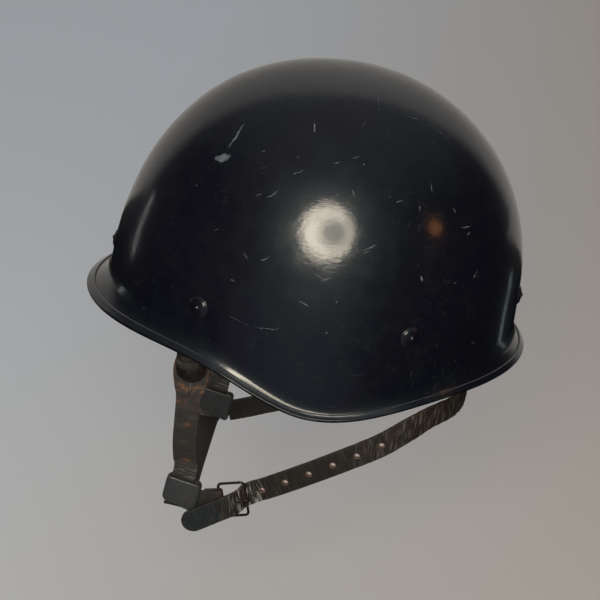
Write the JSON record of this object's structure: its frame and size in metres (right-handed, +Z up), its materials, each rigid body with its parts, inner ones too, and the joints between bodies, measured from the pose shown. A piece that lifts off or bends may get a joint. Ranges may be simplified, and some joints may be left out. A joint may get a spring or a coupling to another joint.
{
  "type": "gendarmerie helmet",
  "caption": "Pressed steel helmet with flared rim, bound edge, domed rivets, riveted leather liner, and a leather chin strap joined to a buckled nape strap.",
  "frame": {"origin": "centre of the plane through the side rivets, in the middle of the head opening", "axes": "-Y is the front of the helmet, +X is the wearer's left, +Z is up through the crown"},
  "size_m": [0.22, 0.2832, 0.3036],
  "materials": {
    "helmet_paint": "glossy black enamel",
    "plain_steel": "dull zinc-plated",
    "liner_leather": "natural vegetable-tanned",
    "strap_leather": "worn black, waxed",
    "covered_stud": "black enamel",
    "felt": "pressed wool felt",
    "lace": "waxed cotton lace",
    "japanned_wire": "dark brown japan"
  },
  "bodies": {
    "helmet_shell": {"shell": "helmet_paint", "rim_binding": "helmet_paint", "shell_rivets": "helmet_paint", "rivet_washers": "plain_steel", "spacer_bushes": "plain_steel", "liner_hoop": "plain_steel", "sweatband": "liner_leather", "felt_pads": "felt", "liner_tongues": "liner_leather", "crown_lace": "lace", "hanger_left": "plain_steel", "hanger_right": "plain_steel", "pivot_rivet_left": "plain_steel", "pivot_rivet_right": "plain_steel"},
    "left_tab": {"tab_left": "strap_leather", "stud_left": "covered_stud"},
    "right_tab": {"tab_right": "strap_leather", "stud_right": "covered_stud"},
    "chin_set": {"chin_strap": "strap_leather"},
    "nape_set": {"keeper_left": "strap_leather", "keeper_right": "strap_leather", "buckle_tab": "strap_leather", "buckle_frame": "japanned_wire", "nape_strap": "strap_leather"},
    "prong": {"buckle_prong": "japanned_wire"}
  },
  "joints": [
    {"name": "tab_left_swing", "type": "hinge", "parent": "helmet_shell", "child": "left_tab", "pos_m": [0.0822, -0.07, -0.019], "axis": [1, 0, 0], "range_deg": [-5, 5]},
    {"name": "tab_right_swing", "type": "hinge", "parent": "helmet_shell", "child": "right_tab", "pos_m": [-0.0822, -0.07, -0.019], "axis": [1, 0, 0], "range_deg": [-5, 5]},
    {"name": "harness_swing", "type": "hinge", "parent": "left_tab", "child": "chin_set", "pos_m": [0.0836, -0.068, -0.0425], "axis": [1, 0, 0], "range_deg": [-40, 3]},
    {"name": "nape_shift", "type": "slide", "parent": "chin_set", "child": "nape_set", "axis": [0, 0.1564, 0.9877], "range_m": [0, 0.005]},
    {"name": "prong_swing", "type": "hinge", "parent": "nape_set", "child": "prong", "pos_m": [0.066, -0.0449, -0.1414], "axis": [0, 0.2334, -0.9724], "range_deg": [0, 2.5]}
  ],
  "couplings": [
    {"joint": "tab_right_swing", "follows": "tab_left_swing", "ratio": 1}
  ]
}
